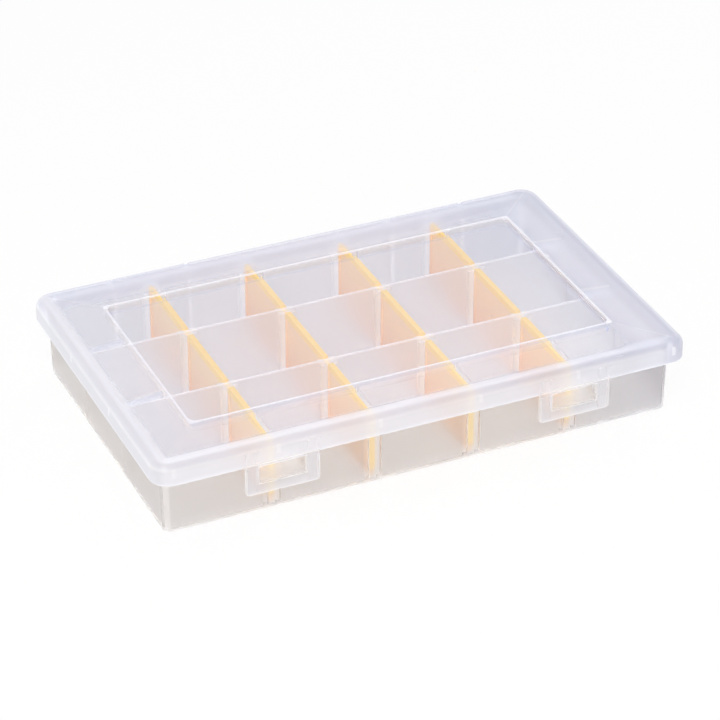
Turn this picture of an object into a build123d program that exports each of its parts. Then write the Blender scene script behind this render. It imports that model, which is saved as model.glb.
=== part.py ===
from build123d import *
import os
from math import radians, tan

# Tray: the open lower half of the box, measured outside at its foot
tray_length = 260.1
tray_depth = 156.3
tray_height = 39.7
tray_corner = 3.5
tray_wall = 1.4
tray_floor = 1.4
tray_draft = 1.0
foot_round = 0.8

# Compartments: five columns and three rows, the end columns a little wider
columns = 5
rows = 3
end_column_extra = 0.9
partition = 1.4
partition_drop = 1.8

# Dividers: a thin web with a thicker rim along its top and both ends
divider_web = 1.3
divider_rim = 3.0
divider_rim_band = 3.2
divider_end_band = 2.6
divider_corner_cut = 5.0
divider_corner_run = 2.5
divider_top_drop = 0.3
divider_edge_round = 0.4
slot_play = 0.2
end_play = 0.3
floor_play = 0.2

# Slot ribs: a pair holds each end of a divider
slot_rib_width = 2.8
slot_rib_reach = 2.4
slot_rib_drop = 1.2

# Lid: a skirt, a rounded edge with a flat land, a border that slopes up, and a sunk panel
lid_wall = 1.3
lid_corner = 9.5
lid_draft = 0.8
lid_shift = 1.6
skirt_drop = 8.4
end_gap = 4.45
side_gap = 5.45
edge_round = 3.8
edge_play = 0.4
land_inset = 6.0
border_end = 28.35
border_side = 29.15
border_rise = 1.8
panel_corner = 4.0
panel_play = 0.3
lid_rib = 1.0

# Latches: two flaps hanging from the front skirt, each with a window
latch_inset = 55.2
latch_width = 36.3
latch_height = 16.3
latch_thickness = 1.8
latch_bar = 5.6
latch_corner = 1.6
window_width = 23.4
window_height = 9.2
window_corner = 0.8
film_rise = 0.5
film_bead = 0.4
film_gap = 0.15
latch_side_play = 0.4
latch_rib = 1.2
latch_rib_proud = 0.6
latch_rib_start = 2.2
skirt_rib_start = 1.2
skirt_rib_top = 2.9

# Catches on the tray, one inside each latch window
catch_side_play = 0.5
catch_flush = 0.3
catch_height = 7.9
catch_land = 1.7
hook_play = 0.3

# Hinges along the back: pins on the tray, open knuckles on the lid
hinge_inset = 54.65
hinge_width = 40.4
hinge_rise = 1.5
hinge_back = 0.2
pin_radius = 1.2
bearing_height = 1.9
pin_fit = 0.08
knuckle_wall = 1.07
knuckle_width = 8.4
knuckle_pitch = 13.0
knuckles = 3
knuckle_mouth = 1.7
cheek = 1.2
cheek_round = 1.9
cheek_play = 0.9
cheek_foot = 4.0
cheek_drop = 1.2
notch_depth = 2.8
segment_drop = 0.6
pin_gap = 0.3

# Places that follow from the sizes above
draft_run = tan(radians(tray_draft))
rim_growth = tray_height * draft_run
inner_length = tray_length - 2 * tray_wall
inner_depth = tray_depth - 2 * tray_wall
column_pitch = (inner_length - 2 * end_column_extra) / columns
row_pitch = (inner_depth + partition) / rows
partition_top = tray_height - partition_drop
divider_length = row_pitch - partition - 2 * end_play
divider_base = tray_floor + floor_play
divider_top = partition_top - divider_top_drop
slot_rib_offset = divider_rim / 2 + slot_play + slot_rib_width / 2
slot_rib_top = partition_top - slot_rib_drop
wall_bite = tray_depth / 2 - tray_wall / 3
lid_length = tray_length + 2 * (rim_growth + end_gap + lid_wall)
lid_depth = tray_depth + 2 * (rim_growth + side_gap + lid_wall)
lid_front = lid_depth / 2 + lid_shift
lid_back = lid_depth / 2 - lid_shift
skirt_bottom = tray_height - skirt_drop
edge_height = tray_height + edge_play + lid_wall
border_high = edge_height + border_rise
panel_length = lid_length - 2 * border_end
panel_depth = lid_depth - 2 * border_side
panel_under = partition_top + panel_play
film_height = skirt_bottom + film_rise
film_y = -(lid_front - film_bead / 2)
latch_spacing = tray_length - 2 * latch_inset
latch_bottom = film_height - latch_height
window_bottom = latch_bottom + latch_bar
hinge_spacing = tray_length - 2 * hinge_inset
hinge_height = skirt_bottom + hinge_rise
hinge_y = lid_back - hinge_back
knuckle_radius = pin_radius + pin_fit + knuckle_wall
skirt_cut = 4 * lid_wall


def tub(length, depth, corner, base):
    """A rounded block on z = base that grows outwards with the tray's draft."""
    grown = 2 * base * draft_run
    with BuildPart() as block:
        with BuildSketch(Plane.XY.offset(base)):
            RectangleRounded(length + grown, depth + grown, corner)
        extrude(amount=tray_height - base, taper=-tray_draft)
    return block.part


def lid_block(skin):
    """The space under the lid's outer surface, drawn in by a skin on every side."""
    land = edge_height - skin
    with BuildPart() as block:
        with BuildSketch(Plane.XY.offset(skirt_bottom)):
            with Locations((0, -lid_shift)):
                RectangleRounded(lid_length - 2 * skin, lid_depth - 2 * skin, lid_corner - skin)
        extrude(amount=land - skirt_bottom, taper=lid_draft)
        fillet(block.faces().sort_by(Axis.Z)[-1].edges(), edge_round - skin)
        with BuildSketch(Plane.XY.offset(land)):
            with Locations((0, -lid_shift)):
                Rectangle(lid_length - 2 * land_inset, lid_depth - 2 * land_inset)
        with BuildSketch(Plane.XY.offset(border_high - skin)):
            with Locations((0, -lid_shift)):
                Rectangle(panel_length, panel_depth)
        loft(ruled=True)
        with BuildSketch(Plane.XY.offset(panel_under + lid_wall - skin)):
            with Locations((0, -lid_shift)):
                RectangleRounded(panel_length + 2 * skin, panel_depth + 2 * skin, panel_corner + skin)
        extrude(amount=border_high, mode=Mode.SUBTRACT)
    return block.part


tray_block = tub(tray_length, tray_depth, tray_corner, 0)
tray_hollow = tub(inner_length, inner_depth, tray_corner - tray_wall, tray_floor)

# Partitions and slot ribs, trimmed to the tray's outer surface
with BuildPart() as webs:
    with BuildSketch(Plane.XY.offset(tray_floor / 2)):
        with GridLocations(1, row_pitch, 1, rows - 1):
            Rectangle(tray_length, partition)
    extrude(amount=partition_top - tray_floor / 2)
    with BuildSketch(Plane.XY.offset(tray_floor / 2)):
        with GridLocations(column_pitch, row_pitch, columns - 1, rows - 1):
            with GridLocations(2 * slot_rib_offset, 1, 2, 1):
                Rectangle(slot_rib_width, partition + 2 * slot_rib_reach)
        with GridLocations(column_pitch, inner_depth, columns - 1, 2):
            with GridLocations(2 * slot_rib_offset, 1, 2, 1):
                Rectangle(slot_rib_width, 2 * slot_rib_reach)
    extrude(amount=slot_rib_top - tray_floor / 2)
    add(tray_block, mode=Mode.INTERSECT)

# Tray: one moulding with its partitions, catches, hinge cheeks and pins
with BuildPart() as tray:
    add(tray_block)
    fillet(tray.faces().sort_by(Axis.Z)[0].edges(), foot_round)
    add(tray_hollow, mode=Mode.SUBTRACT)
    add(webs.part)
    for side in (-1, 1):
        catch_tip = -(lid_front - catch_flush)
        catch_base = window_bottom + hook_play
        with BuildSketch(Plane.YZ.offset(side * latch_spacing / 2)):
            with BuildLine():
                Polyline(
                    (-wall_bite, catch_base),
                    (catch_tip, catch_base),
                    (catch_tip, catch_base + catch_land),
                    (-tray_depth / 2 - draft_run * catch_base, catch_base + catch_height),
                    (-wall_bite, catch_base + catch_height),
                    close=True,
                )
            make_face()
        extrude(amount=window_width / 2 - catch_side_play, both=True)
        for end in (-1, 1):
            cheek_x = side * hinge_spacing / 2 + end * hinge_width / 2
            with BuildSketch(Plane.YZ.offset(cheek_x)):
                with BuildLine():
                    Polyline(
                        (wall_bite, cheek_foot),
                        (wall_bite, tray_height - cheek_drop),
                        (wall_bite + tray_wall, tray_height - cheek_drop),
                    )
                    Line((wall_bite, cheek_foot), (wall_bite + tray_wall, cheek_foot))
                    CenterArc((hinge_y, hinge_height), cheek_round, 0, 360)
                make_hull()
            extrude(amount=cheek / 2, both=True)
            with BuildSketch(Plane.YZ.offset(side * hinge_spacing / 2 + end * knuckle_pitch / 2)):
                with Locations((hinge_y, hinge_height)):
                    Rectangle(hinge_y - wall_bite, bearing_height, align=(Align.MAX, Align.CENTER))
            extrude(amount=cheek / 2, both=True)
        with BuildSketch(Plane.YZ.offset(side * hinge_spacing / 2)):
            with Locations((hinge_y, hinge_height)):
                Circle(pin_radius)
        extrude(amount=hinge_width / 2, both=True)
tray.part.label = "tray"

lid_outside = lid_block(0)
lid_inside = lid_block(lid_wall)

# Ribs under the border, in line with the dividers and the partitions, as far as the tray's walls
with BuildPart() as lid_ribs:
    with BuildSketch(Plane.XY.offset(panel_under)):
        with GridLocations(column_pitch, 1, columns - 1, 1):
            Rectangle(lid_rib, inner_depth)
        with GridLocations(1, row_pitch, 1, rows - 1):
            Rectangle(inner_length, lid_rib)
        with Locations((0, -lid_shift)):
            Rectangle(panel_length, panel_depth, mode=Mode.SUBTRACT)
    extrude(amount=border_high - panel_under)
    add(lid_outside, mode=Mode.INTERSECT)

# Lid: one moulding with its ribs, the seats of the latches and the hinge knuckles
with BuildPart() as lid:
    add(lid_outside)
    add(lid_inside, mode=Mode.SUBTRACT)
    add(lid_ribs.part)
    for side in (-1, 1):
        latch_x = side * latch_spacing / 2
        hinge_x = side * hinge_spacing / 2
        rib_low = film_height + skirt_rib_start
        with BuildSketch(Plane.XY.offset(rib_low)):
            with Locations((latch_x, -lid_front)):
                with GridLocations(window_width + 2 * latch_rib, 1, 2, 1):
                    Rectangle(latch_rib, 2 * latch_rib_proud)
                with GridLocations(latch_width - latch_rib, 1, 2, 1):
                    Rectangle(latch_rib, 2 * latch_rib_proud)
        extrude(amount=edge_height - skirt_rib_top - rib_low)
        with BuildSketch(Plane.XY.offset(skirt_bottom)):
            with Locations((latch_x, -lid_front)):
                Rectangle(latch_width + 2 * latch_side_play, skirt_cut)
        extrude(amount=film_height + film_bead + film_gap - skirt_bottom, mode=Mode.SUBTRACT)
        with BuildSketch(Plane.XY.offset(skirt_bottom)):
            with Locations((hinge_x, lid_back)):
                with GridLocations(hinge_width, 1, 2, 1):
                    Rectangle(cheek + 2 * cheek_play, 2 * notch_depth)
        extrude(amount=border_high, mode=Mode.SUBTRACT)
        with BuildSketch(Plane.XY.offset(edge_height - segment_drop)):
            with Locations((hinge_x, lid_back)):
                Rectangle(hinge_width, 2 * (notch_depth + lid_wall))
        extrude(amount=segment_drop, mode=Mode.SUBTRACT)
        with BuildSketch(Plane.XY.offset(skirt_bottom)):
            with Locations((hinge_x, lid_back)):
                Rectangle(hinge_width, skirt_cut)
        extrude(amount=hinge_height + pin_radius + pin_gap - skirt_bottom, mode=Mode.SUBTRACT)
        for step in range(knuckles):
            knuckle_x = hinge_x + (step - (knuckles - 1) / 2) * knuckle_pitch
            with BuildSketch(Plane.YZ.offset(knuckle_x)):
                with Locations((hinge_y, hinge_height)):
                    Circle(knuckle_radius)
                with Locations((lid_back, hinge_height)):
                    Rectangle(lid_wall, 2 * knuckle_radius, align=(Align.MAX, Align.MIN))
                with Locations((hinge_y, hinge_height)):
                    Circle(pin_radius + pin_fit, mode=Mode.SUBTRACT)
                    Rectangle(
                        2 * knuckle_radius,
                        knuckle_mouth,
                        align=(Align.MAX, Align.MAX),
                        mode=Mode.SUBTRACT,
                    )
            extrude(amount=knuckle_width / 2, both=True)
lid.part.label = "lid"


def latch(side):
    """A flap with a window, rounded along its top where the film holds it."""
    x = side * latch_spacing / 2
    outer = -lid_front
    inner = outer + latch_thickness
    with BuildPart() as flap:
        with BuildSketch(Plane.YZ.offset(x)):
            with BuildLine():
                Polyline(
                    (outer, latch_bottom),
                    (outer, film_height),
                    (film_y, film_height),
                    (inner, film_height - latch_thickness),
                    (inner, latch_bottom),
                    close=True,
                )
            make_face()
            with Locations((film_y, film_height)):
                Circle(film_bead)
        extrude(amount=latch_width / 2, both=True)
        low_corners = flap.edges().filter_by(Axis.Y).group_by(Axis.Z)[0]
        fillet(low_corners, latch_corner)
        rib_length = film_height - latch_rib_start - latch_bottom - latch_corner
        with BuildSketch(Plane.XY.offset(latch_bottom + latch_corner)):
            with Locations((x, outer)):
                with GridLocations(window_width + 2 * latch_rib, 1, 2, 1):
                    Rectangle(latch_rib, 2 * latch_rib_proud)
                with GridLocations(latch_width - latch_rib, 1, 2, 1):
                    Rectangle(latch_rib, 2 * latch_rib_proud)
        extrude(amount=rib_length)
        with BuildSketch(Plane.XZ.offset(-outer)):
            with Locations((x, window_bottom + window_height / 2)):
                RectangleRounded(window_width, window_height, window_corner)
        extrude(amount=2 * latch_thickness, both=True, mode=Mode.SUBTRACT)
    return flap.part


def divider(x, y):
    """A web with a rim along its top and ends, and four clipped corners."""
    end = divider_length / 2
    flat_end = end - divider_corner_run
    low = divider_base + divider_corner_cut
    high = divider_top - divider_corner_cut
    with BuildPart() as blade:
        with BuildSketch(Plane.YZ.offset(x)):
            with BuildLine():
                Polyline(
                    (y - end, high),
                    (y - end, low),
                    (y - flat_end, divider_base),
                    (y + flat_end, divider_base),
                    (y + end, low),
                    (y + end, high),
                    (y + flat_end, divider_top),
                    (y - flat_end, divider_top),
                    close=True,
                )
            make_face()
        extrude(amount=divider_rim / 2, both=True)
        pocket_length = divider_length - 2 * divider_end_band
        for face in (-1, 1):
            with BuildSketch(Plane.YZ.offset(x + face * divider_web / 2)):
                with Locations((y, divider_top - divider_rim_band)):
                    Rectangle(pocket_length, tray_height, align=(Align.CENTER, Align.MAX))
            extrude(amount=face * divider_rim, mode=Mode.SUBTRACT)
        top_edges = blade.edges().filter_by(Axis.Y).group_by(Axis.Z)[-1]
        fillet(top_edges, divider_edge_round)
    return blade.part


latches = {"latch_left": latch(-1), "latch_right": latch(1)}

dividers = {}
for row, row_name in enumerate(("front", "middle", "back")):
    for column in range(columns - 1):
        divider_x = (column - (columns - 2) / 2) * column_pitch
        divider_y = (row - (rows - 1) / 2) * row_pitch
        dividers[f"divider_{row_name}_{column + 1}"] = divider(divider_x, divider_y)

os.makedirs("parts", exist_ok=True)
export_step(tray.part, "parts/tray.step")
export_step(lid.part, "parts/lid.step")
for name, solid in {**latches, **dividers}.items():
    solid.label = name
    export_step(solid, f"parts/{name}.step")
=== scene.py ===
# %% [markdown]
# # A compartment storage box in translucent plastic
# The box is a tray with fixed partitions, twelve lift-out dividers, a hinged lid and two folding latches.
# All of its shapes come finished from the CAD model, so this lesson is about light and finish: how thin,
# milky plastic shows what lies behind it, how its edges catch light, and how layers add up.

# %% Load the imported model
import bpy
import numpy as np
from types import SimpleNamespace
from mathutils import Matrix, Vector


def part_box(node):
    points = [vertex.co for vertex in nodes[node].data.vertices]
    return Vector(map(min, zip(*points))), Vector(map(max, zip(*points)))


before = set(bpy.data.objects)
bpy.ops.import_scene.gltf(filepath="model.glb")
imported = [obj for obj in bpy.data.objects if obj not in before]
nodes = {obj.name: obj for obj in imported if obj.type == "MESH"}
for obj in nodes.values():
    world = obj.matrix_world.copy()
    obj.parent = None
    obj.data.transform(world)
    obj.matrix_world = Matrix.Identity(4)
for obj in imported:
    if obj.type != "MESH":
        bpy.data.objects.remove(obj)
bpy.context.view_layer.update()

# %% [markdown]
# ## The sizes that the finishes follow
# A line of light sits exactly on a moulded edge, so the finishes need the places of those edges. Where a
# piece's own box gives a place, it is read from there, and the others are written here once. Blender works in
# metres, and `MM` keeps the numbers readable.

# %% Measure the pieces
MM = 0.001
tray_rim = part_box("tray")[1][2]
lid_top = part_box("lid")[1][2]
print("tray rim at", round(tray_rim / MM, 2), "mm, lid top at", round(lid_top / MM, 2), "mm")

# %% Places on the lid and the latches
skirt_bottom = 31.3 * MM
land_height = 41.4 * MM
lid_half = (136.5 * MM, 85.59 * MM)
lid_centre_y = -1.6 * MM
panel_half = (108.15 * MM, 56.45 * MM)
latch_x = 74.85 * MM
latch_half = (18.15 * MM, 8.0 * MM)
latch_middle_z = 23.7 * MM
window_half = (11.7 * MM, 4.6 * MM)
window_middle_z = 25.7 * MM
print("panel in mm:", [round(2 * h / MM, 1) for h in panel_half])

# %% Places on the tray
tray_half = (130.05 * MM, 78.15 * MM)
tray_wall = 1.4 * MM
tray_lean = float(np.tan(np.radians(1.0)))
partition_y = 25.8 * MM
partition_top = 37.9 * MM
column_pitch = 51.1 * MM
row_pitch = 51.63 * MM
hinge_x, hinge_half = 75.4 * MM, 19.6 * MM
print("columns every", round(column_pitch / MM, 1), "mm, rows every", round(row_pitch / MM, 1), "mm")

# %% [markdown]
# ## The camera
# The photograph was taken from the front left with a long lens, so that far edges are hardly smaller than
# near ones. The camera's place and turn are set from three directions: its right, its up and its view. A
# camera looks along its own minus z, so the view is turned round in the matrix.

# %% Place the camera
camera_place = Vector((-0.54176, -1.22378, 0.84515))
camera_right = Vector((0.91287711, -0.40822604, -0.00262339))
camera_up = Vector((0.21703214, 0.4798655, 0.8500742))
camera_view = Vector((0.34576354, 0.77658264, -0.5266564))

camera_data = bpy.data.cameras.new("photo_camera")
camera_data.lens = 161.46
camera_data.sensor_width = 36.0
camera_data.shift_x = -0.00135
camera_data.shift_y = 0.0006
camera = bpy.data.objects.new("photo_camera", camera_data)
bpy.context.scene.collection.objects.link(camera)
turn = Matrix((camera_right, camera_up, -camera_view)).transposed().to_4x4()
camera.matrix_world = Matrix.Translation(camera_place) @ turn
bpy.context.scene.camera = camera
print("lens", round(camera_data.lens, 2), "mm at", round(camera_place.length, 2), "m")

# %% [markdown]
# ## The floor
# A flat sheet takes the object's soft shadow. A plane from the Add menu would do. It is worked out as a grid
# here, because the same few lines make any surface of two parameters: both coordinates run evenly from one
# side to the other, and the height is the same everywhere. It lies a hair below the box.

# %% Build the floor
floor_half = 6.0
floor_drop = 0.3 * MM
floor_steps = 8


def flat_grid(name, half_size, height, steps):
    """A level square grid. Point (u, v) lies at half size times (2u - 1) and half size times (2v - 1)."""
    line = np.linspace(-1.0, 1.0, steps + 1) * half_size
    x, y = np.meshgrid(line, line, indexing="ij")
    points = np.stack([x, y, np.full_like(x, height)], axis=-1).reshape(-1, 3)
    i, j = np.meshgrid(np.arange(steps), np.arange(steps), indexing="ij")
    corner = (i * (steps + 1) + j).ravel()
    faces = np.stack([corner, corner + steps + 1, corner + steps + 2, corner + 1], axis=1)
    mesh = bpy.data.meshes.new(name)
    mesh.from_pydata(points.tolist(), [], faces.tolist())
    mesh.update()
    made = bpy.data.objects.new(name, mesh)
    bpy.context.scene.collection.objects.link(made)
    return made


floor = flat_grid("floor", floor_half, -floor_drop, floor_steps)
print("floor faces:", len(floor.data.polygons))

# %% [markdown]
# ## Small helpers for node trees
# Every finish is a node tree. `put` adds one node and `fill` fills its sockets: a socket that is given
# another node's output is joined to it, and any other value is set on the socket itself. That way a finish
# can be written as a list of short lines instead of being wired by hand.

# %% Helpers for nodes
def fill(tree, node, inputs):
    """Fills a node's sockets: another node's output is joined, and a number or a colour is set."""
    for key, value in inputs.items():
        if isinstance(value, bpy.types.NodeSocket):
            tree.links.new(value, node.inputs[key])
        else:
            node.inputs[key].default_value = value


def put(tree, kind, inputs=None, **settings):
    """Adds a node. Settings are its properties, and inputs are numbers, colours or outputs to join."""
    made = tree.nodes.new(kind)
    for key, value in settings.items():
        setattr(made, key, value)
    fill(tree, made, inputs or {})
    return made


def calc(tree, operation, first, second=None, third=None, clamp=False):
    """One Math node, and its output."""
    given = {i: v for i, v in enumerate((first, second, third)) if v is not None}
    return put(tree, "ShaderNodeMath", given, operation=operation, use_clamp=clamp).outputs[0]


# %% Helpers for colours
def linear(red, green, blue):
    """A colour picked as 0 to 255 on a screen, turned to the linear values that shaders take."""
    screen = np.array([red, green, blue]) / 255.0
    value = np.where(screen <= 0.04045, screen / 12.92, ((screen + 0.055) / 1.055) ** 2.4)
    return (*(float(v) for v in value), 1.0)


def glow(red, green, blue):
    """Light that a surface gives off, already linear, as shares of white."""
    return (red, green, blue, 1.0)


def blend(tree, share, first, second):
    """One colour mix, and its output: the first colour at share 0 and the second at share 1."""
    return put(tree, "ShaderNodeMix", {0: share, 6: first, 7: second}, data_type="RGBA").outputs[2]


def layers(tree, colour, *pairs):
    """Lays colours over a first one, in their order, each as far as its mask says."""
    for mask, over in pairs:
        colour = blend(tree, mask, colour, over)
    return colour


# %% [markdown]
# ## Masks
# A mask is a value that is 1 on one part of a piece and 0 elsewhere. Multiplied masks keep what they share,
# and the largest of several masks joins them. Painting each part by hand would work too, but a mask worked
# out from the place on the piece is sharp at any size.

# %% Helpers for masks
def rise(tree, value, start, stop):
    """0 below start, 1 above stop, and a smooth step between."""
    limits = {0: value, 1: start, 2: stop}
    return put(tree, "ShaderNodeMapRange", limits, interpolation_type="SMOOTHSTEP").outputs[0]


def fall(tree, value, start, stop):
    """1 below start, 0 above stop, and a smooth step between."""
    limits = {0: value, 1: start, 2: stop, 3: 1.0, 4: 0.0}
    return put(tree, "ShaderNodeMapRange", limits, interpolation_type="SMOOTHSTEP").outputs[0]


def above(tree, value, limit):
    """1 where a value is above a limit, and 0 elsewhere."""
    return calc(tree, "GREATER_THAN", value, limit)


def below(tree, value, limit):
    """1 where a value is below a limit, and 0 elsewhere."""
    return calc(tree, "LESS_THAN", value, limit)


# %% Ways to join masks
def both(tree, *masks):
    """The product of masks: only what they share. A plain number among them makes the result weaker."""
    total = masks[0]
    for mask in masks[1:]:
        total = calc(tree, "MULTIPLY", total, mask)
    return total


def either(tree, *masks):
    """The largest of several masks: all that any of them holds."""
    total = masks[0]
    for mask in masks[1:]:
        total = calc(tree, "MAXIMUM", total, mask)
    return total


def opposite(tree, mask):
    """One minus a mask."""
    return calc(tree, "SUBTRACT", 1.0, mask)


# %% Distances that repeat
def from_middle(tree, value, pitch):
    """Distance to the middle of a value's own cell. Cells are one pitch wide, and one has its middle at 0."""
    return calc(tree, "ABSOLUTE", calc(tree, "WRAP", value, pitch / 2, -pitch / 2))


def to_column(tree, x):
    """Distance to the nearest line of dividers: half a pitch less the distance from the cell's middle."""
    return calc(tree, "SUBTRACT", column_pitch / 2, from_middle(tree, x, column_pitch))


def to_partition(tree, y):
    """How far beyond the nearer of the two long partitions a point lies, negative between them."""
    return calc(tree, "SUBTRACT", calc(tree, "ABSOLUTE", y), partition_y)


# %% [markdown]
# ## Node groups
# What several plastics share is built once as a node group with named sockets, and each material places it
# with its own values. A group gives out numbers only. The shader itself, Layer Weight, Light Path and
# Backfacing stay in each material, because the export can't read them inside a group.

# %% Helpers for groups
FLOAT, VECTOR = "NodeSocketFloat", "NodeSocketVector"


def new_group(name, takes, gives):
    """A shader node group with named sockets, what it is given, and the node that its results go to."""
    group = bpy.data.node_groups.new(name, "ShaderNodeTree")
    for label, kind, value in takes:
        socket = group.interface.new_socket(label, in_out="INPUT", socket_type=kind)
        if value is not None:
            socket.default_value = value
    for label, kind in gives:
        group.interface.new_socket(label, in_out="OUTPUT", socket_type=kind)
    return group, group.nodes.new("NodeGroupInput").outputs, group.nodes.new("NodeGroupOutput")


def use_group(tree, group, inputs):
    """Places a node group in a material with its own values, and hands back its outputs."""
    return put(tree, "ShaderNodeGroup", inputs, node_tree=group).outputs


# %% [markdown]
# ## How much a milky wall covers
# Light that crosses a wall at a slant has a longer way through it, so the wall looks denser there. With cover
# c face on, what gets through is (1 - c), and at a slant it is (1 - c) to the power of 1 / cosine. A volume
# inside the walls would do the same, but it is slow and noisy in walls this thin.

# %% Group: wall cover
def wall_cover_group():
    """Cover at a slant = 1 - (1 - cover face on) ^ (1 / cosine), with the cosine kept off zero."""
    group, given, out = new_group(
        "wall_cover",
        [("Facing", FLOAT, 0.0), ("Cover", FLOAT, 0.3), ("Least cosine", FLOAT, 0.2)],
        [("Alpha", FLOAT)],
    )
    cosine = either(group, opposite(group, given["Facing"]), given["Least cosine"])
    passed = calc(group, "POWER", opposite(group, given["Cover"]), calc(group, "DIVIDE", 1.0, cosine))
    fill(group, out, {"Alpha": calc(group, "SUBTRACT", 1.0, passed, clamp=True)})
    return group


wall_cover = wall_cover_group()
print("group:", wall_cover.name)

# %% [markdown]
# ## Lines of light
# A moulded edge bends and gathers light, and shows as a thin bright line. Two groups mark where such lines
# are: one follows the outline of a box in a plane, for the sunk panel and the latches, and one marks a band
# of a single coordinate, such as the height of a rim. Both fade softly, because a hard line looks jagged.

# %% Group: outline of a box
line_fades = (0.6, 1.2)


def box_outline_group():
    """1 on the outline of a box and 0 off it. With q = |point - centre| - half size, the distance to the
    outline is the length of q's positive part plus the negative part of its larger coordinate."""
    group, given, out = new_group(
        "box_outline",
        [("U", FLOAT, 0.0), ("V", FLOAT, 0.0), ("Half U", FLOAT, 1.0), ("Half V", FLOAT, 1.0),
         ("Width", FLOAT, 0.001)],
        [("Line", FLOAT), ("Inside", FLOAT), ("Distance", FLOAT)],
    )
    qu = calc(group, "SUBTRACT", calc(group, "ABSOLUTE", given["U"]), given["Half U"])
    qv = calc(group, "SUBTRACT", calc(group, "ABSOLUTE", given["V"]), given["Half V"])
    pu, pv = either(group, qu, 0.0), either(group, qv, 0.0)
    outside = calc(group, "SQRT", calc(group, "ADD", both(group, pu, pu), both(group, pv, pv)))
    distance = calc(group, "ADD", outside, calc(group, "MINIMUM", either(group, qu, qv), 0.0))
    share = calc(group, "DIVIDE", calc(group, "ABSOLUTE", distance), given["Width"])
    fill(group, out, {
        "Line": fall(group, share, *line_fades), "Inside": below(group, distance, 0.0), "Distance": distance,
    })
    return group


box_outline = box_outline_group()
print("group:", box_outline.name)


# %% Group: band
band_fades = (0.35, 0.65)


def band_group():
    """1 where a value is within half a width of a middle, and 0 beyond, with a soft step between."""
    group, given, out = new_group(
        "band", [("Value", FLOAT, 0.0), ("Middle", FLOAT, 0.0), ("Width", FLOAT, 0.001)], [("Band", FLOAT)]
    )
    away = calc(group, "ABSOLUTE", calc(group, "SUBTRACT", given["Value"], given["Middle"]))
    share = calc(group, "DIVIDE", away, given["Width"])
    fill(group, out, {"Band": fall(group, share, *band_fades)})
    return group


band = band_group()
print("group:", band.name)


def band_at(tree, value, middle, width):
    """The band group's mask for one value."""
    return use_group(tree, band, {"Value": value, "Middle": middle, "Width": width})["Band"]


# %% [markdown]
# ## Moulded grain
# Injection moulded polypropylene is never quite even. The steel leaves a fine satin grain, and the milkiness
# drifts a little over a hand's width, where the melt flowed. One group gives all three: the height of the
# grain, a slow cloud, and the roughness that follows them. Noise is enough here, since no flow can be seen.

# %% Group: moulded grain
cloud_per_metre = 14.0
cloud_fades = (0.3, 0.7)


def moulded_grain_group():
    """Fine noise for height, slow noise for the cloud, and roughness = base plus a share of both."""
    group, given, out = new_group(
        "moulded_grain",
        [("Place", VECTOR, None), ("Grain per metre", FLOAT, 1500.0), ("Roughness", FLOAT, 0.3),
         ("Spread", FLOAT, 0.08)],
        [("Height", FLOAT), ("Cloud", FLOAT), ("Roughness", FLOAT)],
    )
    fine = put(group, "ShaderNodeTexNoise", {
        "Vector": given["Place"], "Scale": given["Grain per metre"], "Detail": 2.0,
    }).outputs[0]
    slow = put(group, "ShaderNodeTexNoise", {
        "Vector": given["Place"], "Scale": cloud_per_metre, "Detail": 3.0, "Roughness": 0.45,
    }).outputs[0]
    cloud = rise(group, slow, *cloud_fades)
    unevenness = calc(group, "SUBTRACT", calc(group, "ADD", fine, cloud), 1.0)
    rough = calc(group, "MULTIPLY_ADD", unevenness, given["Spread"], given["Roughness"])
    fill(group, out, {"Height": fine, "Cloud": cloud, "Roughness": rough})
    return group


moulded_grain = moulded_grain_group()
print("group:", moulded_grain.name)

# %% [markdown]
# ## Starting a finish
# All four plastics start alike: object coordinates split into x, y and z, and the moulded grain with a small
# bump. Object coordinates ride on the piece, so that its lines of light stay on its edges when a joint moves
# it. Some edges give off a little light, which stands for light that the real wall leads to them. They are
# not meant to light the room, so they aren't sampled as lamps.

# %% Start a plastic
plastic_ior = 1.49
grain_depth = 0.1 * MM


def start_plastic(name, roughness, grain_per_metre, bump):
    """A material with its tree and its shader, and the values that its finish reads."""
    material = bpy.data.materials.new(name)
    material.use_nodes = True
    material.cycles.emission_sampling = "NONE"
    tree = material.node_tree
    shader = next(n for n in tree.nodes if n.type == "BSDF_PRINCIPLED")
    place = put(tree, "ShaderNodeTexCoord").outputs["Object"]
    x, y, z = put(tree, "ShaderNodeSeparateXYZ", {0: place}).outputs
    grain = use_group(tree, moulded_grain, {
        "Place": place, "Grain per metre": grain_per_metre, "Roughness": roughness,
    })
    relief = put(tree, "ShaderNodeBump", {
        "Strength": bump, "Distance": grain_depth, "Height": grain["Height"],
    }).outputs[0]
    fill(tree, shader, {"Roughness": grain["Roughness"], "Normal": relief})
    return SimpleNamespace(
        material=material, tree=tree, shader=shader, x=x, y=y, z=z,
        cloud=grain["Cloud"], roughness=grain["Roughness"],
    )


def wear(node_name, material):
    """Gives a CAD piece a finish on every slot it has."""
    for slot in nodes[node_name].material_slots:
        slot.material = material


# %% [markdown]
# ## From cover to alpha
# A thin wall has a front face and a back face, and both would cover. So the faces turned away from the eye
# keep only a share of their cover. And a milky box is bright inside, because its walls scatter light rather
# than stop it: rays that bring light see less cover than the eye does. Real scattering would need a volume.

# %% Alpha of a wall
back_share = 0.3


def wall_alpha(tree, cover, least_cosine):
    """Cover at the slant that the wall is seen at. Facing is 0 face on and 1 edge on."""
    facing = put(tree, "ShaderNodeLayerWeight", {"Blend": 0.5}).outputs["Facing"]
    inputs = {"Facing": facing, "Cover": cover, "Least cosine": least_cosine}
    return use_group(tree, wall_cover, inputs)["Alpha"]


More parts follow.
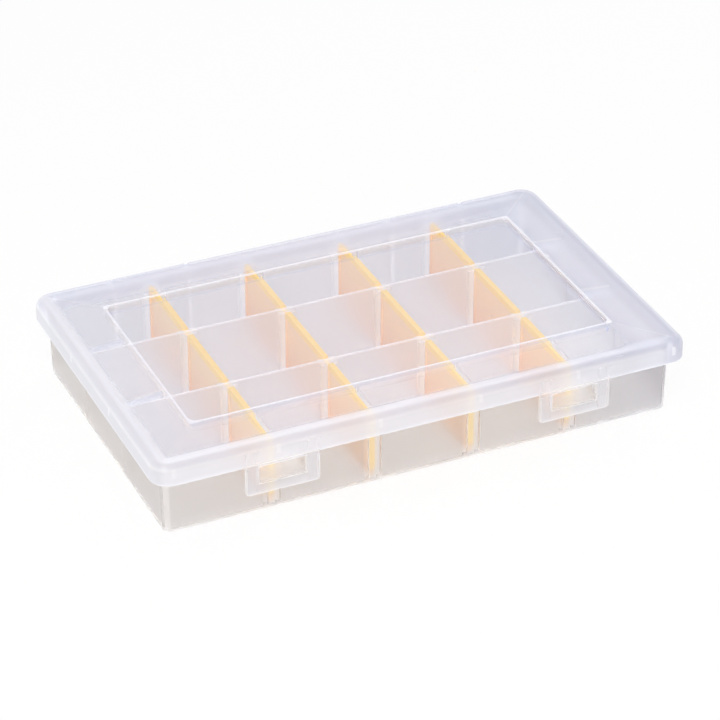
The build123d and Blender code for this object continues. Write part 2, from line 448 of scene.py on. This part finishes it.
def front_only(tree, alpha, edge):
    """Alpha as it is on faces turned to the eye, and a share of it on the others, apart from lit edges."""
    behind = put(tree, "ShaderNodeNewGeometry").outputs["Backfacing"]
    kept = opposite(tree, both(tree, behind, 1.0 - back_share))
    return either(tree, both(tree, alpha, kept), edge)


def let_light_in(tree, alpha, share):
    """Takes a share off the cover for shadow rays and diffuse rays, which bring light to what is inside."""
    path = put(tree, "ShaderNodeLightPath").outputs
    bringing = calc(tree, "ADD", path["Is Shadow Ray"], path["Is Diffuse Ray"], clamp=True)
    return both(tree, alpha, opposite(tree, both(tree, bringing, share)))


# %% [markdown]
# ## The parts of the lid
# The lid is the clearest piece: the dividers show crisply through it. It is one moulding, but its parts look
# different: the skirt that hangs over the tray, the flat land round the edge, the sloping border, and the
# step down to the panel. Each part gets a mask from x, from v, which is y measured from the lid's middle, and
# from the height z. Left and front are called near, and right and back far.

# %% Masks of the lid
outline_width = 1.5 * MM
crest_foot = land_height + 1.1 * MM
step_middle, step_width = 0.7 * MM, 3.6 * MM
side_slack = 2 * MM
skirt_top = (land_height - 2.4 * MM, land_height - 0.1 * MM)
left_shade_top = (land_height - 4.0 * MM, land_height - 1.7 * MM)
near_land_x = (7 * MM - lid_half[0], 10 * MM - lid_half[0])
near_land_y = (7 * MM - lid_half[1], 10 * MM - lid_half[1])
far_border_x, far_border_y = (100 * MM, 120 * MM), (58 * MM, 76 * MM)
back_border_share = 0.6
left_to_right = (-40 * MM, 120 * MM)
middle_to_end = (50 * MM, 125 * MM)
tray_end = (120.5 * MM, 126.5 * MM)
left_face = (-134 * MM, -128 * MM)


def lid_masks(tree, x, v, z):
    """Each mask of the lid. Across and along say how far past the panel's sides a point lies."""
    outline = use_group(tree, box_outline, {
        "U": x, "V": v, "Half U": panel_half[0], "Half V": panel_half[1], "Width": outline_width,
    })
    outside = opposite(tree, outline["Inside"])
    high = above(tree, z, crest_foot)
    right_side = above(tree, x, panel_half[0] - side_slack)
    back_side = above(tree, v, panel_half[1] - side_slack)
    on_right = rise(tree, x, *left_to_right)
    skirt = both(tree, fall(tree, z, *skirt_top), outside)
    near_edge = either(tree, fall(tree, x, *near_land_x), fall(tree, v, *near_land_y))
    half_on_right = calc(tree, "MULTIPLY_ADD", on_right, -0.5, 1.0)
    back_border = both(tree, rise(tree, v, *far_border_y), back_border_share)
    far_edge = either(tree, rise(tree, x, *far_border_x), back_border)
    by_step = band_at(tree, outline["Distance"], step_middle, step_width)
    return SimpleNamespace(
        outline=outline["Line"], inside=outline["Inside"], high=high, skirt=skirt, on_right=on_right,
        across=calc(tree, "SUBTRACT", calc(tree, "ABSOLUTE", x), panel_half[0]),
        along=calc(tree, "SUBTRACT", calc(tree, "ABSOLUTE", v), panel_half[1]),
        right_side=right_side,
        far_side=either(tree, right_side, back_side),
        step=both(tree, by_step, opposite(tree, high)),
        near_land=both(tree, near_edge, opposite(tree, skirt), half_on_right),
        far_border=both(tree, far_edge, outside),
        outer_end=rise(tree, calc(tree, "ABSOLUTE", x), *middle_to_end),
        past_tray=rise(tree, x, *tray_end),
        left_face=fall(tree, x, *left_face),
        left_shade=fall(tree, z, *left_shade_top),
    )


# %% [markdown]
# ## The lines on the lid
# The lid's edges do the drawing: the outline of the sunk panel, a second line halfway down its right step,
# the lower edge of the skirt, the four mitres of the sloping border, and the ribs under the border, which
# line up with the partitions and dividers below. A bevel on each edge would catch light too, but in walls
# this thin the bright line comes from inside the plastic, so it is drawn where the edge is.

# %% Lines on the lid
hem_width = 1.0 * MM
mitre_across, mitre_along = 0.719, 0.695
mitre_width = 0.8 * MM
second_width = 0.7 * MM
rib_width = 2.0 * MM
rib_foot = land_height - 6.0 * MM
rib_reach = 17 * MM
steep_below = 0.5
line_strength = {"second": 0.5, "mitre": 0.25, "rib_end": 0.6, "border_rib": 0.35}


def lid_ribs(tree, x, y, z, at):
    """The ribs' outer ends, on the steep faces past the panel, and the ribs seen through the right border."""
    normal = put(tree, "ShaderNodeNewGeometry").outputs["True Normal"]
    normal_z = put(tree, "ShaderNodeSeparateXYZ", {0: normal}).outputs[2]
    steep = below(tree, calc(tree, "ABSOLUTE", normal_z), steep_below)
    past_end, past_side = above(tree, at.across, 0.0), above(tree, at.along, 0.0)
    by_column = band_at(tree, to_column(tree, x), 0.0, rib_width)
    by_partition = band_at(tree, to_partition(tree, y), 0.0, rib_width)
    ends = either(tree, both(tree, by_column, past_side, steep), both(tree, by_partition, past_end, steep))
    ends = both(tree, ends, above(tree, z, rib_foot), line_strength["rib_end"])
    on_border = both(tree, past_end, below(tree, at.across, rib_reach), above(tree, x, 0.0))
    return either(tree, ends, both(tree, by_partition, on_border, line_strength["border_rib"]))


def lid_lines(tree, x, y, z, at):
    """The crest round the panel alone, and all of the lid's lines, each with its strength."""
    crest = both(tree, at.outline, at.high)
    second = band_at(tree, z, land_height, second_width)
    second = both(tree, second, at.outline, at.right_side, line_strength["second"])
    hem = band_at(tree, z, skirt_bottom, hem_width)
    slant = calc(tree, "SUBTRACT", both(tree, at.across, mitre_across), both(tree, at.along, mitre_along))
    on_slope = both(tree, above(tree, at.across, 0.0), above(tree, z, land_height))
    mitre = both(tree, band_at(tree, slant, 0.0, mitre_width), on_slope, line_strength["mitre"])
    return crest, either(tree, crest, second, hem, mitre, lid_ribs(tree, x, y, z, at))


# %% [markdown]
# ## The colours of the lid
# Clear polypropylene has a cool lilac cast. The lid is also painted a little bluer towards its ends, a
# painted reflection: only its middle takes warm light from the dividers. One colour would look flat, so
# colours are laid over one another like thin washes, from the whole lid to its smallest part. The washes on
# the far border, the near land, the skirt and the step are painted light and shade.

# %% Colours of the lid
lid_milk = (linear(202, 206, 232), linear(208, 211, 236))
# painted reflection: bluer towards the ends, where no warm light from the dividers reaches
lid_end_painted_cool_light = linear(180, 196, 230)
# painted reflection: the far border is lighter and greyer, as if it mirrored the pale surround
lid_far_border_painted_sheen = linear(220, 220, 235)
# painted light and shade: the near land is lighter than the rest of the lid, lit on the left and shaded
# towards the right
lid_near_land_lit_to_shaded = (linear(222, 222, 234), linear(196, 200, 220))
# painted light and shade on the skirt: bright where the milky tray behind it scatters light, and shaded
# towards the right; on the left face, a painted highlight along the top edge over a painted shade below; past
# the tray, the plain colour without painted light
lid_skirt_lit_to_shaded = (linear(237, 237, 246), linear(228, 228, 237))
lid_left_skirt_highlight_and_shade = (linear(247, 247, 253), linear(223, 223, 232))
lid_clear_skirt = linear(208, 209, 226)
# painted shade on the step: pale on the near sides, where it is nearly clear, and a darker blue shade on the
# far sides
lid_step_pale_and_shaded = (linear(238, 230, 230), linear(194, 204, 242))
lid_line = linear(247, 248, 255)
end_share, far_border_share = 0.5, 0.7


def lid_colour(tree, cloud, at):
    """The lid's washes of colour, most of them painted light and shade. The skirt has its own: painted light
    that fades to shade from left to right, a painted highlight at the top of the left face over a shaded
    lower part, and its plain colour past the tray.
    """
    skirt = layers(
        tree, blend(tree, at.on_right, *lid_skirt_lit_to_shaded),
        (at.left_face, blend(tree, at.left_shade, *lid_left_skirt_highlight_and_shade)),
        (at.past_tray, lid_clear_skirt),
    )
    return layers(
        tree, blend(tree, cloud, *lid_milk),
        (both(tree, at.outer_end, end_share), lid_end_painted_cool_light),
        (both(tree, at.far_border, far_border_share), lid_far_border_painted_sheen),
        (at.near_land, blend(tree, at.on_right, *lid_near_land_lit_to_shaded)),
        (at.skirt, skirt),
        (at.step, blend(tree, at.far_side, *lid_step_pale_and_shaded)),
    )


# %% [markdown]
# ## The finish of the lid
# Cover and glow follow the same masks. The skirt and the near land are the milkiest parts, and the step on
# the near sides is nearly clear, so that only its crest shows. The glow is faint everywhere, and there is
# none past the tray's right end, where nothing milky stands behind the skirt to send light into it.

# %% Finish of the lid
lid_cover = {"least": 0.18, "far_border": 0.16, "skirt": 0.28, "near_land": 0.2}
step_thins_near, step_thins_far = -0.85, -0.10
line_cover, more_on_far = 0.5, 0.2


def lid_cover_at(tree, at):
    """Cover face on: a least value plus a share for each milky part, thinned along the step."""
    cover = calc(tree, "MULTIPLY_ADD", at.far_border, lid_cover["far_border"], lid_cover["least"])
    cover = calc(tree, "MULTIPLY_ADD", at.skirt, lid_cover["skirt"], cover)
    cover = calc(tree, "MULTIPLY_ADD", at.near_land, lid_cover["near_land"], cover)
    thinner = calc(tree, "MULTIPLY_ADD", at.far_side, step_thins_far - step_thins_near, step_thins_near)
    return both(tree, cover, calc(tree, "MULTIPLY_ADD", at.step, thinner, 1.0))


def lid_glow(tree, crest, at):
    """The faint light of each part of the lid, laid over one another as its colours are."""
    return layers(
        tree, glow(0.06, 0.06, 0.07),
        (at.inside, glow(0.01, 0.01, 0.01)),
        (at.near_land, glow(0.07, 0.07, 0.08)),
        (at.skirt, blend(tree, at.on_right, glow(0.04, 0.045, 0.045), glow(0.06, 0.065, 0.075))),
        (at.past_tray, glow(0.0, 0.0, 0.0)),
        (crest, glow(0.05, 0.05, 0.09)),
    )


def lid_finish():
    """Clear plastic: an alpha that follows the slant, and lines that are denser on the far sides."""
    lid = start_plastic("lid_clear_plastic", roughness=0.22, grain_per_metre=900.0, bump=0.04)
    tree = lid.tree
    v = calc(tree, "SUBTRACT", lid.y, lid_centre_y)
    at = lid_masks(tree, lid.x, v, lid.z)
    crest, lines = lid_lines(tree, lid.x, lid.y, lid.z, at)
    alpha = wall_alpha(tree, lid_cover_at(tree, at), least_cosine=0.25)
    denser_far = calc(tree, "MULTIPLY_ADD", at.far_side, more_on_far, line_cover)
    alpha = front_only(tree, alpha, both(tree, lines, denser_far))
    fill(tree, lid.shader, {
        "Base Color": blend(tree, lines, lid_colour(tree, lid.cloud, at), lid_line),
        "Emission Color": lid_glow(tree, crest, at),
        "Emission Strength": 1.0,
        "Alpha": let_light_in(tree, alpha, share=0.8),
        "IOR": plastic_ior,
    })
    return lid.material


lid_plastic = lid_finish()
wear("lid", lid_plastic)
print("lid finish:", len(lid_plastic.node_tree.nodes), "nodes")

# %% [markdown]
# ## The parts of the tray
# The tray is milkier, and its walls have two sides that look different: the outer one is glossy, and the
# inner one is frosted. Which side a point is on follows from its distance to the middle of the wall, and
# because the walls lean by a degree of draft, that distance is corrected for the height.

# %% Masks of the tray
near_depth = 5 * MM
slot_width, slot_foot, slot_outside = 8.0 * MM, 2.0 * MM, 0.8
rim_fades = (tray_rim - 2.2 * MM, tray_rim - 1.2 * MM)
tray_left_to_right = (40 * MM, 125 * MM)
foot_fades, lowest_fades = (0.0, 9.0 * MM), (0.4 * MM, 2.4 * MM)
corner_fades = (-2.2 * MM, -0.9 * MM)


def tray_masks(tree, x, y, z):
    """Each mask of the tray. Out x and out y say how far past the wall's middle a point lies."""
    lean = both(tree, calc(tree, "SUBTRACT", tray_rim, z), tray_lean)
    size_x, size_y = calc(tree, "ABSOLUTE", x), calc(tree, "ABSOLUTE", y)
    out_x = calc(tree, "SUBTRACT", calc(tree, "ADD", size_x, lean), tray_half[0] - tray_wall / 2)
    out_y = calc(tree, "SUBTRACT", calc(tree, "ADD", size_y, lean), tray_half[1] - tray_wall / 2)
    out_most = either(tree, out_x, out_y)
    within_walls = below(tree, out_most, tray_wall)
    outer = both(tree, above(tree, out_most, 0.0), within_walls)
    near_x = below(tree, x, near_depth - tray_half[0])
    near_y = below(tree, y, near_depth - tray_half[1])
    inner_columns = below(tree, size_x, 2 * column_pitch)
    slot = both(
        tree, band_at(tree, to_column(tree, x), 0.0, slot_width), inner_columns,
        opposite(tree, both(tree, outer, slot_outside)), within_walls, above(tree, z, slot_foot),
    )
    return SimpleNamespace(
        size_x=size_x, size_y=size_y, outer=outer, slot=slot,
        near_side=either(tree, near_x, near_y),
        near_rim=rise(tree, z, *rim_fades),
        right_end=rise(tree, x, *tray_left_to_right),
        foot=fall(tree, z, *foot_fades),
        lowest=fall(tree, z, *lowest_fades),
        corner=rise(tree, calc(tree, "MINIMUM", out_x, out_y), *corner_fades),
    )


# %% [markdown]
# ## The finish of the tray
# Here the walls are dense enough for real refraction: the plastic passes most light, and the rough inner side
# blurs what lies behind, as frosted glass does. The walls bend light less than solid plastic would, so that
# what lies behind isn't broken up. Alpha is 1 to the eye, and lower only for the rays that bring light in.
# The rim, the tops of the partitions and the hinge cheeks at the back are thin lines of light, and the
# corners, the slots and the lowest edge catch some too.

# %% Lines of the tray
rim_width, top_width, cheek_width = 0.9 * MM, 0.8 * MM, 1.6 * MM
partition_width = 3.0 * MM
back_from = tray_half[1] - 6 * MM
far_rim, near_rim_more = 0.1, 0.4
cheek_strength, top_strength = 0.2, 0.5


def tray_lines(tree, y, z, at):
    """Rim, hinge cheeks and partition tops. The rim is five times as bright on the near sides."""
    rim = band_at(tree, z, tray_rim, rim_width)
    top = both(tree, band_at(tree, z, partition_top, top_width),
               band_at(tree, at.size_y, partition_y, partition_width), top_strength)
    from_hinge = calc(tree, "ABSOLUTE", calc(tree, "SUBTRACT", at.size_x, hinge_x))
    cheek = both(tree, band_at(tree, from_hinge, hinge_half, cheek_width),
                 above(tree, y, back_from), cheek_strength)
    rim_strength = calc(tree, "MULTIPLY_ADD", at.near_side, near_rim_more, far_rim)
    return either(tree, both(tree, rim, rim_strength), cheek, top)


# %% Finish of the tray
outer_gloss, inner_frost = 0.16, 0.62
tray_ior = 1.22
tray_milk = (linear(250, 247, 246), linear(252, 250, 249))
# the outer side is greyer than the milk, and it is painted darker towards the right end as shade
tray_outside_shaded_to_right = (linear(216, 213, 212), linear(202, 202, 209))
# painted light: the foot is lightened, against the dark that its rounded edge would show
tray_foot_painted_light = linear(246, 245, 246)
# painted highlight: the slots and the top of the rim are white, as light caught there
tray_painted_highlight = linear(255, 255, 255)
tray_line = linear(254, 253, 254)
foot_share = 0.4
caught_share = {"corner": 0.6, "rim": 0.7, "slot": 0.3}


def tray_finish():
    """Satin plastic that refracts. Roughness is the grain's plus a value for each side of the wall."""
    tray = start_plastic("tray_satin_plastic", roughness=0.0, grain_per_metre=1400.0, bump=0.03)
    tree = tray.tree
    at = tray_masks(tree, tray.x, tray.y, tray.z)
    lines = tray_lines(tree, tray.y, tray.z, at)
    # Over the milk: painted shade on the outer side towards the right, painted light on the foot, and a
    # painted highlight on the slots, the rim and the lines.
    colour = layers(
        tree, blend(tree, tray.cloud, *tray_milk),
        (at.outer, blend(tree, at.right_end, *tray_outside_shaded_to_right)),
        (both(tree, at.foot, foot_share), tray_foot_painted_light),
        (either(tree, at.slot, at.near_rim), tray_painted_highlight),
        (lines, tray_line),
    )
    caught = either(
        tree, both(tree, either(tree, both(tree, at.corner, caught_share["corner"]), at.lowest), at.outer),
        both(tree, at.near_rim, at.near_side, caught_share["rim"]), both(tree, at.slot, caught_share["slot"]),
    )
    inner = calc(tree, "ADD", tray.roughness, inner_frost)
    fill(tree, tray.shader, {
        "Base Color": colour,
        "Roughness": calc(tree, "MULTIPLY_ADD", at.outer, outer_gloss - inner_frost, inner),
        "Emission Color": layers(
            tree, glow(0.0, 0.0, 0.0), (lines, glow(0.25, 0.24, 0.26)), (caught, glow(0.16, 0.16, 0.16)),
        ),
        "Emission Strength": 1.0,
        "Alpha": let_light_in(tree, 1.0, share=0.75),
        "Transmission Weight": 0.8,
        "IOR": tray_ior,
    })
    return tray.material


tray_plastic = tray_finish()
wear("tray", tray_plastic)
print("tray finish:", len(tray_plastic.node_tree.nodes), "nodes")

# %% [markdown]
# ## The dividers
# Yellow-orange plastic with a thick rim round a thin web. Seen through the lid, the rim is a deep yellow and
# the web a pale orange that lightens upwards, where light falls in from above. Light also passes from one
# divider to the next. A lower cover for the rays that bring light and a little glow in the plastic's own
# colour stand for that, while to the eye the dividers stay solid.

# %% Finish of the dividers
divider_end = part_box("divider_middle_1")[1][1] - 0.1 * MM
divider_rim_foot = 34.3 * MM
web_fades = (2.0 * MM, 34.0 * MM)
divider_web = (linear(236, 187, 138), linear(248, 209, 148))
divider_rim = (linear(255, 212, 96), linear(255, 216, 108))


def divider_finish():
    """Rim on the top and the ends, and a web that lightens with height."""
    divider = start_plastic("divider_amber_plastic", roughness=0.38, grain_per_metre=1200.0, bump=0.2)
    tree = divider.tree
    end = above(tree, from_middle(tree, divider.y, row_pitch), divider_end)
    thick = either(tree, above(tree, divider.z, divider_rim_foot), end)
    web = blend(tree, rise(tree, divider.z, *web_fades), *divider_web)
    body = blend(tree, thick, web, blend(tree, divider.cloud, *divider_rim))
    fill(tree, divider.shader, {
        "Base Color": body,
        "Emission Color": body,
        "Emission Strength": 0.18,
        "Alpha": let_light_in(tree, 1.0, share=0.6),
        "IOR": plastic_ior,
    })
    return divider.material


amber = divider_finish()
dividers = [name for name in nodes if name.startswith("divider_")]
for name in dividers:
    wear(name, amber)
print("dividers:", len(dividers))

# %% [markdown]
# ## The latches
# The same plastic as the lid, with smaller moulded edges: the outline of the flap and of its window. The two
# latches stand at the same distance from the middle, so one finish that reads the size of x serves both.

# %% Finish of the latches
latch_line_width, latch_line_strength = 0.5 * MM, 0.5
latch_milk = (linear(230, 229, 236), linear(233, 232, 239))
latch_line = linear(250, 249, 252)


def latch_finish():
    """Clear plastic with the outlines of the flap and of the window as lines of light."""
    latch = start_plastic("latch_clear_plastic", roughness=0.24, grain_per_metre=900.0, bump=0.04)
    tree = latch.tree
    u = calc(tree, "SUBTRACT", calc(tree, "ABSOLUTE", latch.x), latch_x)
    outlines = [
        use_group(tree, box_outline, {
            "U": u, "V": calc(tree, "SUBTRACT", latch.z, middle), "Half U": half[0], "Half V": half[1],
            "Width": latch_line_width,
        })["Line"]
        for middle, half in ((latch_middle_z, latch_half), (window_middle_z, window_half))
    ]
    lines = either(tree, *outlines)
    alpha = wall_alpha(tree, cover=0.34, least_cosine=0.3)
    alpha = front_only(tree, alpha, both(tree, lines, latch_line_strength))
    fill(tree, latch.shader, {
        "Base Color": blend(tree, lines, blend(tree, latch.cloud, *latch_milk), latch_line),
        "Alpha": let_light_in(tree, alpha, share=0.8),
        "IOR": plastic_ior,
    })
    return latch.material


latch_plastic = latch_finish()
wear("latch_left", latch_plastic)
wear("latch_right", latch_plastic)
print("finishes:", [m.name for m in bpy.data.materials if m.name.endswith("plastic")])

# %% [markdown]
# ## The floor's finish
# The floor is white to the eye and keeps the shadow: part of it glows for camera, glossy and transmission
# rays, and the rest is a plain white surface. More lamps would whiten it too, but they would bleach the box.

# %% Finish the floor
floor_glow_share = 0.75


def floor_finish():
    """A mix of a matt white surface and a white glow, and the glow is there only for rays that show it."""
    material = bpy.data.materials.new("floor_white")
    material.use_nodes = True
    tree = material.node_tree
    shader = next(n for n in tree.nodes if n.type == "BSDF_PRINCIPLED")
    end = next(n for n in tree.nodes if n.type == "OUTPUT_MATERIAL")
    fill(tree, shader, {"Base Color": (0.97, 0.97, 0.97, 1.0), "Roughness": 0.9, "Specular IOR Level": 0.0})
    light = put(tree, "ShaderNodeEmission", {"Color": (1.0, 1.0, 1.0, 1.0), "Strength": 1.0}).outputs[0]
    path = put(tree, "ShaderNodeLightPath").outputs
    seen = calc(tree, "ADD", path["Is Camera Ray"], path["Is Glossy Ray"])
    seen = calc(tree, "ADD", seen, path["Is Transmission Ray"], clamp=True)
    share = both(tree, seen, floor_glow_share)
    mixed = put(tree, "ShaderNodeMixShader", {0: share, 1: shader.outputs[0], 2: light}).outputs[0]
    fill(tree, end, {"Surface": mixed})
    return material


floor.data.materials.append(floor_finish())
print("floor glow share:", floor_glow_share)

# %% [markdown]
# ## Light
# Two large soft lamps and a pale surround give the light, as a photographer's tent does. The surround is
# white where it is seen directly, and a little dimmer where it lights the box.

# %% Light the scene
surround_strength = 0.7
key_place, key_size, key_power = (-0.7, -1.1, 1.6), 1.2, 16.0
fill_place, fill_size, fill_power = (1.2, 0.9, 1.4), 1.0, 4.0
box_place = (0.0, 0.0, 0.0)


def world_light(strength):
    """An even white surround: level = strength for light, and 1 for camera and transmission rays."""
    world = bpy.data.worlds.new("studio")
    bpy.context.scene.world = world
    world.use_nodes = True
    tree = world.node_tree
    surround = next(n for n in tree.nodes if n.type == "BACKGROUND")
    path = put(tree, "ShaderNodeLightPath").outputs
    seen = calc(tree, "ADD", path["Is Camera Ray"], path["Is Transmission Ray"], clamp=True)
    level = calc(tree, "MULTIPLY_ADD", seen, 1.0 - strength, strength)
    fill(tree, surround, {"Color": (1.0, 1.0, 1.0, 1.0), "Strength": level})


def soft_lamp(name, place, target, size, power):
    """A square area lamp that looks at a point."""
    data = bpy.data.lights.new(name, "AREA")
    data.shape = "SQUARE"
    data.size = size
    data.energy = power
    lamp = bpy.data.objects.new(name, data)
    bpy.context.scene.collection.objects.link(lamp)
    lamp.location = place
    lamp.rotation_euler = (Vector(target) - Vector(place)).to_track_quat("-Z", "Y").to_euler()


world_light(surround_strength)
soft_lamp("key_lamp", key_place, box_place, key_size, key_power)
soft_lamp("fill_lamp", fill_place, box_place, fill_size, fill_power)

# %% [markdown]
# ## Settings
# A new Blender file starts with a cube and a lamp of its own, which go. The picture uses the Standard view,
# so that a colour shows as it is written. A ray may cross many thin walls before it reaches the floor, so it
# is allowed many bounces. With too few, the stacked walls would turn black.

# %% Clear the start-up objects and set the view
for name in ("Cube", "Light"):
    if name in bpy.data.objects:
        bpy.data.objects.remove(bpy.data.objects[name])

scene = bpy.context.scene
scene.view_settings.view_transform = "Standard"
scene.cycles.transparent_max_bounces = 48
scene.cycles.max_bounces = 28
scene.cycles.transmission_bounces = 28
